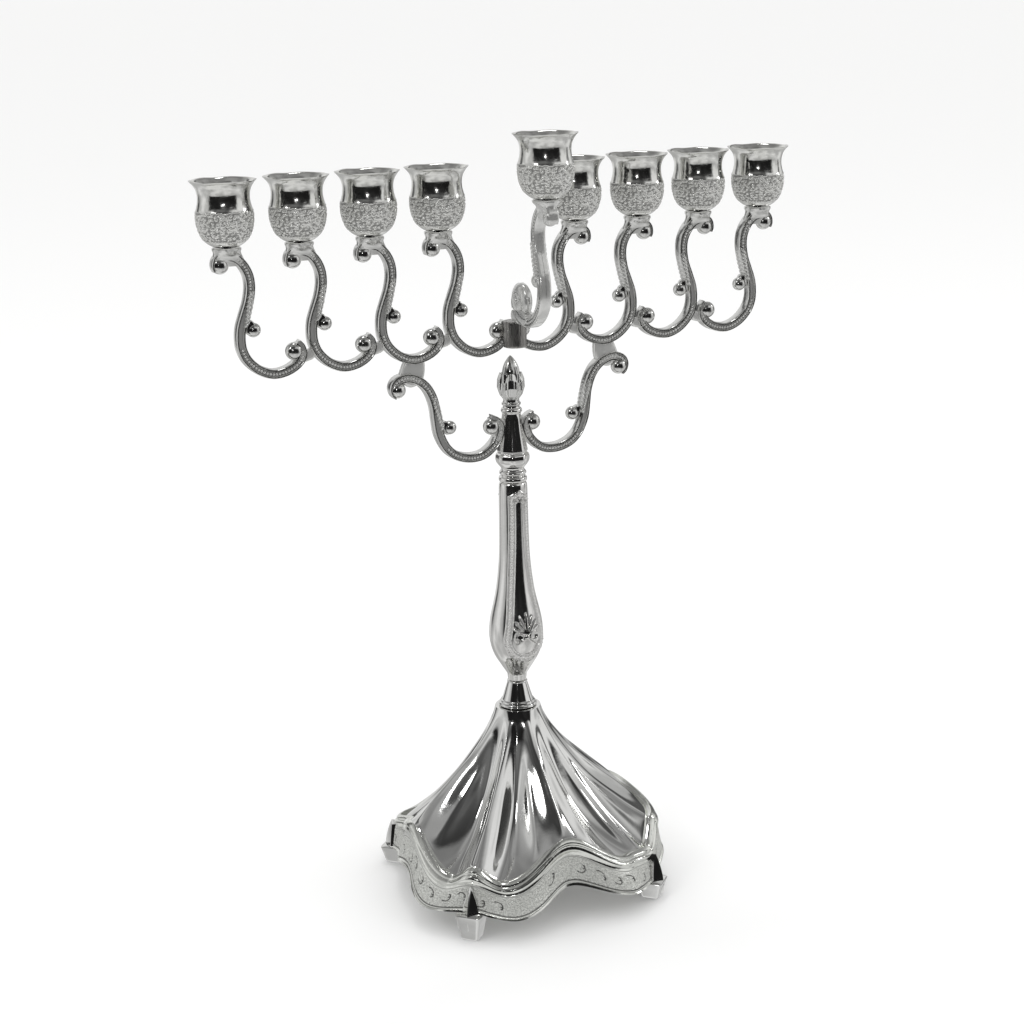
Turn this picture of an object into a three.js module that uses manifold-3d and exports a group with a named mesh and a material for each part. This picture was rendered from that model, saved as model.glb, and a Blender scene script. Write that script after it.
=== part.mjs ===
// Nine-branch table menorah of plated castings, stacked on one tie rod.
// Millimetres, +Z up. Origin: middle of the base, on the plane that the feet stand on.
// The branches stand in the plane y = 0; the raised servant branch comes forward along -Y.

import * as THREE from 'three';
import { mergeVertices } from 'three/addons/utils/BufferGeometryUtils.js';
import Module from 'manifold-3d';

const wasm = await Module();
wasm.setup();
const { Manifold, Mesh: ManifoldMesh } = wasm;

// ---- driving dimensions --------------------------------------------------------------

const GAP = 0.3; // clearance between pieces that bear on each other
const FIRST_CUP = 26; // distance of the innermost cups from the middle
const CUP_PITCH = 25; // distance from one cup to the next
const CUPS_PER_SIDE = 4;
const SEAT_HEIGHT = 245.6; // plane where a cup stands on its arm
const SERVANT_SEAT = { y: -31.5, z: 257.4 };

const ROD_RADIUS = 2;
const BORE_RADIUS = ROD_RADIUS + GAP;
const SCREW_RADIUS = 1.4;
const SCREW_BORE = SCREW_RADIUS + GAP;

const HUB = { y: -4.4, radius: 4.1, bottom: 203.7, top: 213 };
const COLLAR = { bottom: 69.6, top: 79.1 };
const STEM = { bottom: 79.4, top: 154.2 };
const ARM_HUB = { bottom: 154.5, top: 181.9 };
const FINIAL = { bottom: 182.2, top: 200.1 };
const FOOT = { out: 51.4, high: 9.1, low: 6.1, topRadius: 6.9, bottomRadius: 4.6 }; // corner to corner

// The scroll that every arm is cast to, in the arm's own frame: u runs outward from the
// cup axis, w upward from the cup seat.
const BAND = { width: 3.2, depth: 4.2, steps: 17 };
const BAND_PATH = [
  [4.1, -6.6], [4.4, -4.9], [3.1, -3.3], [0.6, -2.9], [-2.4, -3.7], [-5.0, -6.3],
  [-6.6, -9.8], [-6.95, -13.8], [-6.2, -18.2], [-4.7, -22.4], [-3.2, -26.8],
  [-2.75, -30.8], [-3.2, -34.6], [-5.0, -38.2], [-8.6, -41.5], [-13.2, -43.3],
  [-17.6, -42.9], [-21.2, -40.9], [-23.2, -38.0], [-23.2, -35.2],
];
const TOP_BALL = { u: 2.6, w: -5.8, radius: 2.8 };
const MIDDLE_BALL = { u: -7.6, w: -28.0, radius: 2.2 };
const END_BALL = { u: -21.3, w: -36.2, radius: 2.9 };
const LEAF = [
  [-7.6, -16.4], [-8.5, -19.6], [-8.2, -22.6], [-7.3, -25.0], [-7.0, -26.6],
  [-3.4, -28.2], [-4.2, -23.0], [-6.0, -17.6],
];

const LOWER_ARM = { x: 24, z: 176.6, turn: -0.4625 }; // middle ball's place, and the scroll's turn

// ---- materials -----------------------------------------------------------------------

const plating = (roughness, color = 0xc9c9c6) =>
  new THREE.MeshStandardMaterial({ color, metalness: 1, roughness });
const polished = plating(0.12);
const satin = plating(0.28, 0xbdbdb8);
const hammered = plating(0.34, 0xb9b9b1);
const steel = plating(0.4, 0x8d8f92);

// ---- geometry helpers ----------------------------------------------------------------

// Turns a closed three.js geometry into a solid that can be joined and cut.
function solidOf(geometry) {
  const bare = geometry.clone();
  bare.deleteAttribute('normal');
  bare.deleteAttribute('uv');
  const merged = mergeVertices(bare, 1e-4);
  return new Manifold(new ManifoldMesh({
    numProp: 3,
    vertProperties: new Float32Array(merged.attributes.position.array),
    triVerts: new Uint32Array(merged.index.array),
  }));
}

function geometryOf(solid) {
  const { vertProperties, triVerts } = solid.getMesh();
  const geometry = new THREE.BufferGeometry();
  geometry.setAttribute('position', new THREE.BufferAttribute(vertProperties, 3));
  geometry.setIndex(new THREE.BufferAttribute(triVerts, 1));
  geometry.computeVertexNormals();
  return geometry;
}

const joinAll = (solids) => solids.reduce((sum, next) => sum.add(next));

// Revolves an [r, z] outline about the Z axis.
function turned(outline, segments) {
  const points = outline.map(([r, z]) => new THREE.Vector2(r, z));
  return new THREE.LatheGeometry(points, segments).rotateX(Math.PI / 2);
}

const cylinder = (radius, bottom, top, segments = 12) =>
  turned([[0, bottom], [radius, bottom], [radius, top], [0, top]], segments);

// A tube wall between two radii, its outline closed on itself.
const sleeve = (outline, segments) => turned([...outline, outline[0]], segments);

// An outline in the arm's (u, w) plane, thickened evenly to both sides of it.
function plate(outline, depth) {
  const shape = new THREE.Shape(outline.map(([u, w]) => new THREE.Vector2(u, w)));
  const geometry = new THREE.ExtrudeGeometry(shape, { depth, bevelEnabled: false, steps: 1 });
  return geometry.translate(0, 0, -depth / 2).rotateX(Math.PI / 2);
}

const ball = ({ u, w, radius }, flatten = 1) =>
  new THREE.SphereGeometry(radius, 7, 4).scale(1, flatten, 1).translate(u, 0, w);

function boxBetween([x0, x1], [y0, y1], [z0, z1]) {
  const box = new THREE.BoxGeometry(x1 - x0, y1 - y0, z1 - z0);
  return box.translate((x0 + x1) / 2, (y0 + y1) / 2, (z0 + z1) / 2);
}

// ---- the scroll casting --------------------------------------------------------------

// The band is swept along its path; grown by a clearance it is the relief that a
// neighbour's lug is cut with.
function band(grow = 0) {
  const x = BAND.depth / 2 + grow;
  const y = BAND.width / 2 + grow;
  const corners = [[x, y], [-x, y], [-x, -y], [x, -y]];
  const section = new THREE.Shape(corners.map(([a, b]) => new THREE.Vector2(a, b)));
  const path = new THREE.CatmullRomCurve3(BAND_PATH.map(([u, w]) => new THREE.Vector3(u, 0, w)));
  return new THREE.ExtrudeGeometry(section, {
    steps: BAND.steps, extrudePath: path, bevelEnabled: false,
  });
}

const bandRelief = () => solidOf(band(GAP));

// Band, curled ends, leaf and middle ball: what all eleven arms share.
function scroll(endBall = END_BALL, endFlatten = 1) {
  return joinAll([
    solidOf(band()),
    solidOf(ball(TOP_BALL)),
    solidOf(ball(MIDDLE_BALL)),
    solidOf(ball(endBall, endFlatten)),
    solidOf(plate(LEAF, BAND.depth - 0.4)),
  ]);
}

// The round seat that carries a cup, with its shoulders and the screw's blind hole.
function withCupSeat(casting) {
  const seat = turned([[0, -4], [3.4, -4], [4.8, -1.2], [4.8, 0], [0, 0]], 10);
  const shoulders = plate([[-4.7, -0.9], [4.7, -0.9], [5.4, -4.6], [-6.3, -5.6]], 3.4);
  const hole = cylinder(SCREW_BORE, -4.4, 1, 8);
  const underTop = boxBetween([-4.2, 1.2], [-3, 3], [-9, -4.9]);
  const web = solidOf(shoulders).subtract(solidOf(underTop));
  return joinAll([casting, solidOf(seat), web]).subtract(solidOf(hole));
}

// The lug by which an arm is brazed to the next arm inward.
function neighbourLug() {
  const outline = [[-22, -34.9], [-28.2, -34.9], [-28.2, -38.4], [-26.4, -41], [-22, -41]];
  return solidOf(plate(outline, 3)).subtract(bandRelief().translate([-CUP_PITCH, 0, 0]));
}

// Mirrors an arm made for the right-hand side to the left.
const mirrored = (solid) => solid.mirror([1, 0, 0]);

function upperArm(cupX, isInnermost) {
  const plain = withCupSeat(scroll());
  const casting = isInnermost ? plain : plain.add(neighbourLug());
  const placed = casting.translate([cupX, 0, SEAT_HEIGHT]);
  return isInnermost ? placed.subtract(hubSolid(GAP)) : placed;
}

// The lower arm is the same scroll turned about its middle ball, with a saddle under the
// second upper arm and a lug against the arm hub.
function lowerArm() {
  const turn = THREE.MathUtils.radToDeg(-LOWER_ARM.turn);
  const casting = scroll()
    .translate([-MIDDLE_BALL.u, 0, -MIDDLE_BALL.w])
    .rotate([0, turn, 0])
    .translate([LOWER_ARM.x, 0, LOWER_ARM.z]);
  const saddleOutline = [[34.4, 195.4], [41.6, 195.4], [40.4, 201.6], [33.6, 201.6]];
  const carried = bandRelief().translate([FIRST_CUP + CUP_PITCH, 0, SEAT_HEIGHT]);
  const saddle = solidOf(plate(saddleOutline, 3.4)).subtract(carried);
  const lugOutline = [[2.6, 170.6], [7.4, 170.6], [7.4, 176.4], [2.6, 176.4]];
  const lug = solidOf(plate(lugOutline, 3)).subtract(armHubSolid(GAP));
  return joinAll([casting, saddle, lug]).subtract(armHubSolid(GAP));
}

// The servant arm ends in a larger volute that stands on the hub.
const SERVANT_VOLUTE = { u: -20.8, w: -36.4, radius: 6 };
function servantArm() {
  const foot = boxBetween([-24.6, -19], [-2, 2], [-44.1, -40]);
  return withCupSeat(scroll(SERVANT_VOLUTE, 0.45)).add(solidOf(foot))
    .rotate([0, 0, -90])
    .translate([0, SERVANT_SEAT.y, SERVANT_SEAT.z]);
}

// ---- hub, cups and fastenings --------------------------------------------------------

function hubSolid(grow = 0) {
  const block = cylinder(HUB.radius + grow, HUB.bottom - grow, HUB.top + grow, 20);
  return solidOf(block.translate(0, HUB.y, 0));
}

// Bell cup: granulated bowl, waist and flared lip, open upward, holed for its screw.
function cup() {
  return sleeve([
    [SCREW_BORE, GAP], [4.6, GAP], [6.9, 3.3], [9.1, 6.6], [9.6, 10.8], [8.6, 16.2],
    [11.2, 22.0], [10.4, 22.0], [7.7, 16.2], [8.4, 10.8], [7.4, 6.6], [4.2, 2.6],
    [SCREW_BORE, 2.6],
  ], 12);
}

function cupScrew() {
  return turned([
    [0, -3.9], [SCREW_RADIUS, -3.9], [SCREW_RADIUS, 2.9], [2.7, 2.9], [2.0, 4.4], [0, 4.4],
  ], 8);
}

// ---- column --------------------------------------------------------------------------

const collar = () => sleeve([
  [BORE_RADIUS, COLLAR.bottom], [6.6, COLLAR.bottom], [7.0, 70.4], [5.9, 71.6], [4.6, 75.2],
  [3.5, COLLAR.top], [BORE_RADIUS, COLLAR.top],
], 16);

const stem = () => sleeve([
  [BORE_RADIUS, STEM.bottom], [3.4, STEM.bottom], [3.6, 81.6], [7.9, 88.8], [9.4, 92.8],
  [9.9, 97.4], [9.4, 102.6], [7.9, 109.6], [6.5, 117.4], [5.6, 127], [5.0, STEM.top],
  [BORE_RADIUS, STEM.top],
], 16);

const armHubOutline = (grow) => [
  [BORE_RADIUS, ARM_HUB.bottom], [5.0 + grow, ARM_HUB.bottom], [5.1 + grow, 156],
  [4.2 + grow, 159.2], [6.1 + grow, 163.2], [4.9 + grow, 168], [3.5 + grow, 177],
  [3.7 + grow, 180.4], [3.1 + grow, ARM_HUB.top], [BORE_RADIUS, ARM_HUB.top],
];
const armHub = () => sleeve(armHubOutline(0), 16);
const armHubSolid = (grow) => solidOf(turned([[0, ARM_HUB.bottom],
  ...armHubOutline(grow).slice(1, -1), [0, ARM_HUB.top]], 16));

// Bud finial, which screws down on the rod and clamps the column.
const finial = () => turned([
  [0, 187.3], [BORE_RADIUS, 187.3], [BORE_RADIUS, FINIAL.bottom], [3.3, FINIAL.bottom],
  [3.1, 184.4], [4.4, 188], [4.75, 190.8], [4.3, 193.6], [1.6, 198.6], [0, FINIAL.top],
], 14);

const tieRod = () => cylinder(ROD_RADIUS, 57, 187, 14);
const washer = () => sleeve([[BORE_RADIUS, 63.6], [6.2, 63.6], [6.2, 64.8], [BORE_RADIUS, 64.8]], 14);
const baseNut = () => solidOf(cylinder(4.3, 59.4, 63.3, 6)).subtract(
  solidOf(cylinder(BORE_RADIUS, 58, 65, 14)));

// ---- base ----------------------------------------------------------------------------

// The base hangs like cloth from its neck: each side rises at its middle, falls in a lobe
// to both sides of it and rises again at the corner, where a foot stands. Each profile runs
// from the neck to the lip as [radius, height], and ring i joins the i-th point of them all.
// The sides to the left and right bow in less than the front and back. The right side's
// lobes stay raised, the lobe at the back of the left side is tucked in, and the corners
// at the front right and back left hang lower than the other two.
const SIDE_EXTRA = 4.8; // how much further out the left and right middles lie at the rim
const PROFILES = {
  middle: [
    [8.3, 69.3], [9.7, 65.4], [13, 59.6], [18.4, 52.4], [24.6, 45.6], [31.4, 38.4],
    [38.4, 30.6], [39.6, 31.4], [41, 29.2], [40.3, 25.2], [41, 20], [42, 14],
  ],
  lobe: [
    [8.3, 69.3], [9.4, 64.8], [12.2, 57.2], [17.2, 47.4], [23.8, 37.2], [32.8, 27.2],
    [44.2, 18.6], [45.8, 19.6], [48.2, 18.6], [49.2, 15.6], [51.8, 12], [55, 8.6],
  ],
  raised: [
    [8.3, 69.3], [9.6, 65.2], [12.8, 58.8], [18.6, 51], [26.4, 42.6], [36, 35],
    [47.4, 27.2], [49, 28], [51, 26], [51.4, 22], [52.2, 16.6], [53.4, 11],
  ],
  tucked: [
    [8.3, 69.3], [9.4, 64.8], [12.2, 57.2], [16.8, 47.6], [22.4, 38.6], [30, 29.6],
    [39.6, 21.4], [41, 22.4], [43, 20.8], [43.8, 17.6], [45, 13], [46.6, 8.6],
  ],
  corner: [
    [8.3, 69.3], [9.7, 65.4], [13.2, 59.4], [19.2, 51.4], [27, 43.2], [36.6, 34],
    [47.4, 25], [49, 25.6], [51, 23.8], [51.2, 20], [51.6, 14.4], [52, 9.4],
  ],
  low: [
    [8.3, 69.3], [9.7, 65.2], [13, 58.4], [18.6, 49.6], [25.8, 39.8], [35.4, 29.2],
    [47.2, 18.6], [48.8, 19.4], [50.6, 17.8], [51, 14.6], [51.4, 10.4], [51.8, 6.4],
  ],
};
// Where each ring's lobe lies between its side's middle (0) and the corner (1).
const LOBE_PHASE = [0.6, 0.6, 0.61, 0.63, 0.66, 0.7, 0.74, 0.74, 0.72, 0.68, 0.64, 0.61];
const SKIN = [0.6, 1.4, 1.8, 2, 2, 2, 2.2, 2.6, 2.4, 2.2, 2.2, 2.2]; // wall at each ring
const BASE_SEGMENTS = 56;

const eased = (t) => (1 - Math.cos(Math.PI * t)) / 2;

// Distance around half a side, 0 at its middle and 1 at the corner.
function sidePhase(angle) {
  const quarter = Math.PI / 2;
  const fromMiddle = Math.abs(angle - Math.round(angle / quarter) * quarter);
  return fromMiddle / (quarter / 2);
}

// Which lobe and which corner profile the half side at that angle hangs between.
function hangsBetween(angle) {
  const [x, y] = [Math.cos(angle), Math.sin(angle)];
  const corner = x * y < 0 ? 'low' : 'corner';
  if (x > Math.SQRT1_2) return ['raised', corner];
  return [x < -Math.SQRT1_2 && y > 0 ? 'tucked' : 'lobe', corner];
}

function ringPoint(ring, angle) {
  const phase = sidePhase(angle);
  const peak = LOBE_PHASE[ring];
  const inLobe = phase < peak;
  const t = inLobe ? eased(phase / peak) : eased((phase - peak) / (1 - peak));
  const [lobe, corner] = hangsBetween(angle);
  const from = PROFILES[inLobe ? 'middle' : lobe][ring];
  const to = PROFILES[inLobe ? lobe : corner][ring];
  const facesSide = Math.abs(Math.cos(angle)) > Math.SQRT1_2 ? 1 : 0;
  const reach = PROFILES.middle[ring][0] / 42;
  const widen = inLobe ? facesSide * SIDE_EXTRA * reach * reach * (1 - t) : 0;
  return [
    THREE.MathUtils.lerp(from[0], to[0], t) + widen,
    THREE.MathUtils.lerp(from[1], to[1], t),
  ];
}

// Wall points: inward of the skin on the steep rings, under it on the flat ones.
function innerPoint(ring, angle) {
  const [r, z] = ringPoint(ring, angle);
  const slope = ring < 7 ? THREE.MathUtils.smoothstep(r, 12, 34) : 0;
  return [r - SKIN[ring] * (1 - 0.55 * slope), z - SKIN[ring] * slope];
}

function baseShell() {
  const outer = SKIN.map((_, ring) => (angle) => ringPoint(ring, angle));
  const inner = SKIN.map((_, ring) => (angle) => innerPoint(ring, angle));
  const bore = [() => [BORE_RADIUS, 65.1], () => [BORE_RADIUS, 69.3]];
  const ceiling = [() => [7.2, 65.1]];
  const round = [...outer, ...inner.slice(2).reverse(), ...ceiling, ...bore, outer[0]];
  const stations = round.reverse();
  const placeholder = stations.map((_, i) => [10 + i, i]);
  const geometry = turned(placeholder, BASE_SEGMENTS);
  const position = geometry.attributes.position;
  for (let segment = 0; segment <= BASE_SEGMENTS; segment += 1) {
    const angle = ((segment % BASE_SEGMENTS) / BASE_SEGMENTS) * 2 * Math.PI;
    stations.forEach((station, i) => {
      const [r, z] = station(angle);
      const index = segment * stations.length + i;
      position.setXYZ(index, r * Math.cos(angle), r * Math.sin(angle), z);
    });
  }
  return geometry;
}

// Corner foot: a tapered pad of that height under the rim and a keeled wedge outside it,
// made for the corner direction +X and turned to its corner.
function foot(top) {
  const pad = new THREE.CylinderGeometry(FOOT.topRadius, FOOT.bottomRadius, top, 4, 1);
  pad.rotateX(Math.PI / 2).rotateZ(Math.PI / 4).translate(FOOT.out, 0, top / 2);
  const keel = new THREE.CylinderGeometry(1, 4.2, 13.5, 4, 1).rotateX(Math.PI / 2);
  keel.scale(0.8, 1, 1).translate(53, 0, top + 3.3);
  const rim = turned([[0, top], [53, top], [52.5, top + 7], [52.3, top + 21], [0, top + 21]], 56);
  return solidOf(pad).add(solidOf(keel).subtract(solidOf(rim)));
}

// ---- assembly ------------------------------------------------------------------------

const menorah = new THREE.Group();

function add(name, geometry, material, position = [0, 0, 0]) {
  const mesh = new THREE.Mesh(geometry, material.clone());
  mesh.name = name;
  mesh.position.set(...position);
  menorah.add(mesh);
  return mesh;
}

add('base_shell', baseShell(), polished);
const corners = { front_right: -45, back_right: 45, back_left: 135, front_left: -135 };
for (const [corner, degrees] of Object.entries(corners)) {
  const top = hangsBetween(THREE.MathUtils.degToRad(degrees))[1] === 'low' ? FOOT.low : FOOT.high;
  add(`foot_${corner}`, geometryOf(foot(top).rotate([0, 0, degrees])), polished);
}

add('base_collar', collar(), polished);
add('stem', stem(), polished);
add('arm_hub', armHub(), polished);
add('finial', finial(), polished);
add('tie_rod', tieRod(), steel);
add('base_washer', washer(), steel);
add('base_nut', geometryOf(baseNut()), steel);

const lowerRight = lowerArm();
add('lower_arm_right', geometryOf(lowerRight), satin);
add('lower_arm_left', geometryOf(mirrored(lowerRight)), satin);

function addCup(name, seat) {
  add(`cup_${name}`, cup(), hammered, seat);
  add(`cup_screw_${name}`, cupScrew(), steel, seat);
}

for (let i = 0; i < CUPS_PER_SIDE; i += 1) {
  const cupX = FIRST_CUP + i * CUP_PITCH;
  const arm = upperArm(cupX, i === 0);
  add(`arm_right_${i + 1}`, geometryOf(arm), satin);
  add(`arm_left_${i + 1}`, geometryOf(mirrored(arm)), satin);
  addCup(`right_${i + 1}`, [cupX, 0, SEAT_HEIGHT]);
  addCup(`left_${i + 1}`, [-cupX, 0, SEAT_HEIGHT]);
}

add('centre_hub', geometryOf(hubSolid()), satin);
add('servant_arm', geometryOf(servantArm()), satin);
addCup('servant', [0, SERVANT_SEAT.y, SERVANT_SEAT.z]);

export default menorah;
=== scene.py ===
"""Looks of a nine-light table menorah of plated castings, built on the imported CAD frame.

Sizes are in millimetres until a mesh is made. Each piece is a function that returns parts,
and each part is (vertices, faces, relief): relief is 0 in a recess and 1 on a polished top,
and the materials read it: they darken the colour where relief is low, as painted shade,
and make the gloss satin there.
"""

import math

import bmesh
import bpy
import numpy as np
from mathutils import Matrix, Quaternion, Vector


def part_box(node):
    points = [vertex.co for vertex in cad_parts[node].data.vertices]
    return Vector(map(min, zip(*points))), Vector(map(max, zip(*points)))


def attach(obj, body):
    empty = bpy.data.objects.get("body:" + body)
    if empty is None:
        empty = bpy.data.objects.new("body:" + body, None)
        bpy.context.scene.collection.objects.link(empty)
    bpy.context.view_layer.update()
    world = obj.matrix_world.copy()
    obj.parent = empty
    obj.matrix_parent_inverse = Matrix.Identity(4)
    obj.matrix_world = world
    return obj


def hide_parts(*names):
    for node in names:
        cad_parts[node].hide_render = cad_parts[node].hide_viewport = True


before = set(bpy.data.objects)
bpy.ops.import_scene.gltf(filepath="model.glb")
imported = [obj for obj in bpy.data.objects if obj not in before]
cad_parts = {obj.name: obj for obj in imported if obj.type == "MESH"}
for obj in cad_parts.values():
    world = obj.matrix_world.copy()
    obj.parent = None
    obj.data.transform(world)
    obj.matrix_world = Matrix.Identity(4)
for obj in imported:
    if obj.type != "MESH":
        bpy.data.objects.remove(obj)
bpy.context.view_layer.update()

MM = 0.001
GAP = 0.3  # clearance that the CAD leaves under a cup

# ---- camera ------------------------------------------------------------------------------

AZIMUTH, ELEVATION, ROLL = 24.546, 15.042, -1.261  # degrees
DISTANCE, TARGET = 719.92, (-0.61, 0.0, 142.8)
LENS, SENSOR = 70.33, 36.0
NEAREST, FURTHEST = 0.05, 200  # metres
FLOOR_RADIUS = 95  # metres: its edge lies at the horizon


def make_camera():
    az, el, roll = (math.radians(a) for a in (AZIMUTH, ELEVATION, ROLL))
    look = Vector((math.sin(az) * math.cos(el), math.cos(az) * math.cos(el), -math.sin(el)))
    data = bpy.data.cameras.new("camera")
    data.lens, data.sensor_width = LENS, SENSOR
    data.clip_start, data.clip_end = NEAREST, FURTHEST
    camera = bpy.data.objects.new("camera", data)
    camera.location = (Vector(TARGET) - look * DISTANCE) * MM
    camera.rotation_mode = "QUATERNION"
    camera.rotation_quaternion = Quaternion(look, -roll) @ look.to_track_quat("-Z", "Y")
    bpy.context.scene.collection.objects.link(camera)
    bpy.context.scene.camera = camera
    return -look


towards_camera = make_camera()

# ---- mesh helpers ------------------------------------------------------------------------


def surface(grid, tube=False, relief=1.0):
    """Quads over a grid of rows and columns. Columns close on themselves, and rows do in a tube."""
    rows, cols, _ = grid.shape
    index = np.arange(rows * cols).reshape(rows, cols)
    here = index if tube else index[:-1]
    after = np.roll(index, -1, 0) if tube else index[1:]
    quads = np.stack([here, np.roll(here, -1, 1), np.roll(after, -1, 1), after], -1)
    height = np.broadcast_to(relief, (rows, cols)).reshape(-1)
    return grid.reshape(-1, 3), [quads.reshape(-1, 4)], height


def capped(grid, relief=1.0):
    """A surface whose first and last rows are closed by fans."""
    vertices, faces, height = surface(grid, relief=relief)
    rows, cols, _ = grid.shape
    total = len(vertices)
    ring = np.arange(cols)
    after = np.roll(ring, -1)
    start = np.stack([np.full(cols, total), after, ring], -1)
    last = (rows - 1) * cols
    end = np.stack([np.full(cols, total + 1), ring + last, after + last], -1)
    centres = np.stack([grid[0].mean(0), grid[-1].mean(0)])
    ends = height[[0, last]]
    return np.vstack([vertices, centres]), [*faces, start, end], np.concatenate([height, ends])


def catmull_rom(a, b, c, d, t):
    """The curve through b and c, at share t of the way from b to c."""
    return 0.5 * (2 * b + (c - a) * t + (2 * a - 5 * b + 4 * c - d) * t**2 + (3 * b - a - 3 * c + d) * t**3)


def spline(points, count, closed=False):
    """Evenly spaced points on the Catmull-Rom curve through points."""
    p = np.asarray(points, float)
    p = np.vstack([p[-1], p, p[:2]]) if closed else np.vstack([2 * p[0] - p[1], p, 2 * p[-1] - p[-2]])
    t = np.linspace(0, 1, 12, endpoint=False)[:, None]
    runs = [catmull_rom(a, b, c, d, t) for a, b, c, d in zip(p, p[1:], p[2:], p[3:])]
    dense = np.vstack([*runs, p[-2]])
    along = np.concatenate([[0], np.cumsum(np.linalg.norm(np.diff(dense, axis=0), axis=1))])
    stops = np.linspace(0, along[-1], count, endpoint=not closed)
    return np.stack([np.interp(stops, along, dense[:, k]) for k in range(p.shape[1])], -1)


def turned(profile, columns):
    """Grid of [r, z] rows turned about the Z axis."""
    theta = np.linspace(0, 2 * np.pi, columns, endpoint=False)
    r, z = np.asarray(profile, float).T
    return polar(r[:, None] + 0 * theta, z[:, None] + 0 * theta, theta)


def polar(r, z, theta):
    return np.stack([r * np.cos(theta), r * np.sin(theta), z], -1)


def icosphere(detail):
    bm = bmesh.new()
    bmesh.ops.create_icosphere(bm, subdivisions=detail, radius=1)
    vertices = np.array([v.co[:] for v in bm.verts])
    faces = np.array([[v.index for v in f.verts] for f in bm.faces])
    bm.free()
    return vertices, faces


BALLS = {detail: icosphere(detail) for detail in (2, 3, 4)}


def ellipsoid(centre, radii, turn=0.0, detail=4, relief=1.0):
    """Radii along u, y and w, turned in the u-w plane."""
    vertices, faces = BALLS[detail]
    x, y, z = (vertices * radii).T
    c, s = math.cos(turn), math.sin(turn)
    placed = np.stack([c * x - s * z, y, s * x + c * z], -1) + centre
    return placed, [faces], np.full(len(placed), relief)


def slab(outline, half, edge=0.5, count=48):
    """A rounded plate in the u-w plane: its outline is a smooth loop, its rims are eased."""
    loop = spline(outline, count, closed=True)
    middle = loop.mean(0)
    size = np.linalg.norm(loop - middle, axis=1).mean()
    rows = []
    for a in np.linspace(-np.pi / 2, np.pi / 2, 9):
        inset = 1 - edge / size * (1 - math.cos(a))
        flat = middle + (loop - middle) * inset
        y = math.copysign(half - edge * (1 - abs(math.sin(a))), a) if abs(a) > 0.01 else 0
        rows.append(np.stack([flat[:, 0], np.full(count, y), flat[:, 1]], -1))
    return capped(np.array(rows))


def dulled_and_shaded(part, share):
    """The same part with its whole surface counted as recessed by that share, so it is darker with painted
    recess shade and more satin.
    """
    vertices, faces, relief = part
    return vertices, faces, relief * share


def moved(part, offset=(0, 0, 0), turn=0.0, about=(0, 0), mirror=False, quarter=False):
    """A part turned in the u-w plane, mirrored across u = 0, turned to face -Y, and moved."""
    vertices, faces, relief = part
    v = vertices.copy()
    c, s = math.cos(turn), math.sin(turn)
    u, w = v[:, 0] - about[0], v[:, 2] - about[1]
    v[:, 0], v[:, 2] = about[0] + c * u - s * w, about[1] + s * u + c * w
    if quarter:
        v = np.stack([v[:, 1], -v[:, 0], v[:, 2]], -1)
    v = v + offset
    if mirror:
        v = v * (-1, 1, 1)
    return v, faces, relief


def mesh_of(name, parts, sharp=38):
    """One Blender mesh, in metres, with its faces turned outward."""
    vertices = np.vstack([p[0] for p in parts]) * MM
    offsets = np.cumsum([0] + [len(p[0]) for p in parts])
    groups = [f + o for (_, faces, _), o in zip(parts, offsets) for f in faces]
    loops = np.concatenate([g.reshape(-1) for g in groups])
    totals = np.concatenate([np.full(len(g), g.shape[1]) for g in groups])
    mesh = bpy.data.meshes.new(name)
    mesh.vertices.add(len(vertices))
    mesh.vertices.foreach_set("co", vertices.astype(np.float32).ravel())
    mesh.loops.add(len(loops))
    mesh.loops.foreach_set("vertex_index", loops.astype(np.int32))
    mesh.polygons.add(len(totals))
    mesh.polygons.foreach_set("loop_start", (np.cumsum(totals) - totals).astype(np.int32))
    mesh.update(calc_edges=True)
    mesh.validate()
    bm = bmesh.new()
    bm.from_mesh(mesh)
    bmesh.ops.recalc_face_normals(bm, faces=bm.faces)
    bm.to_mesh(mesh)
    bm.free()
    relief = mesh.attributes.new("relief", "FLOAT", "POINT")
    relief.data.foreach_set("value", np.concatenate([p[2] for p in parts]).astype(np.float32))
    mesh.shade_smooth()
    mesh.set_sharp_from_angle(angle=math.radians(sharp))
    return mesh


def place(name, mesh, material, nodes, at=(0, 0, 0)):
    """Shows a mesh as one piece that stands for CAD nodes."""
    piece = bpy.data.objects.new(name, mesh)
    piece.location = Vector(at) * MM
    bpy.context.scene.collection.objects.link(piece)
    if not mesh.materials:
        mesh.materials.append(material)
    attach(piece, "root")
    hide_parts(*nodes)
    return piece


# ---- surface patterns --------------------------------------------------------------------


def grains(x, y, pitch, around, seed):
    """Height 0 to 1 of round grains strewn over a strip that closes on itself after around."""
    count = round(around / pitch)
    gx, gy = x * count / around, y / pitch
    ix, iy = np.floor(gx).astype(int), np.floor(gy).astype(int)
    dice = np.random.default_rng(seed).random((count, 64, 3))
    best = np.zeros(np.broadcast(gx, gy).shape)
    for dx in (-1, 0, 1):
        for dy in (-1, 0, 1):
            roll = dice[(ix + dx) % count, (iy + dy) % 64]
            ox = ix + dx + 0.5 + 0.7 * (roll[..., 0] - 0.5)
            oy = iy + dy + 0.5 + 0.7 * (roll[..., 1] - 0.5)
            size = 0.36 + 0.2 * roll[..., 2]
            far = ((gx - ox) ** 2 + (gy - oy) ** 2) / size**2
            best = np.maximum(best, np.sqrt(np.clip(1 - far, 0, 1)))
    return best


def bead_row(along, across, pitch, radius):
    """Height 0 to 1 of a line of beads that runs where across is 0."""
    step = (along / pitch + 0.5) % 1 - 0.5
    return np.sqrt(np.clip(1 - ((step * pitch) ** 2 + across**2) / radius**2, 0, 1))


def ring_line(x, y, radius, width):
    return np.exp(-(((np.hypot(x, y) - radius) / width) ** 2))


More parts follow.
